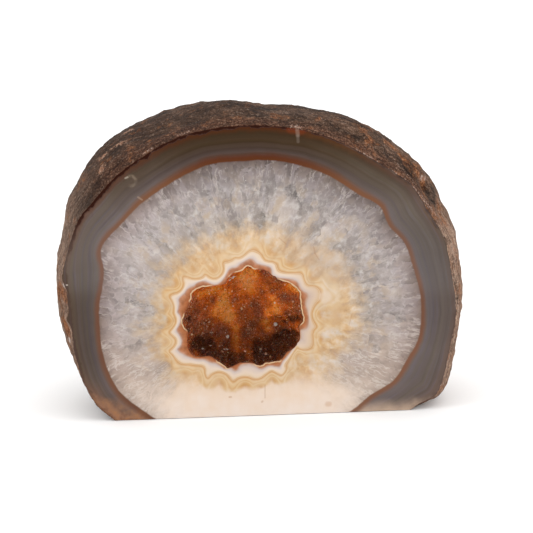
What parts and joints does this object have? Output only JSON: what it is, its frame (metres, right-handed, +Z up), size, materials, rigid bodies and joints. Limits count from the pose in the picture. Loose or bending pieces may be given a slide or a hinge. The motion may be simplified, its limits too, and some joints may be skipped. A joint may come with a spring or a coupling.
{
  "type": "agate half nodule",
  "caption": "Natural agate nodule with a polished banded front, a crystal-lined hollow, a rough rind behind and a sawn flat base to stand on.",
  "frame": {"origin": "middle of the stone's box, at the height of the sawn base", "axes": "+X along the polished face, to the right seen from the front; -Y out of the polished face; +Z up from the sawn base"},
  "size_m": [0.134, 0.063, 0.1001],
  "materials": {
    "banded_agate": "polished front and sawn base with grey-brown and white bands; rough brown rind behind",
    "quartz_druse": "small sparkling crystals stained orange-brown"
  },
  "bodies": {
    "root": {"agate_stone": "banded_agate", "crystal_crust": "quartz_druse"}
  },
  "joints": []
}
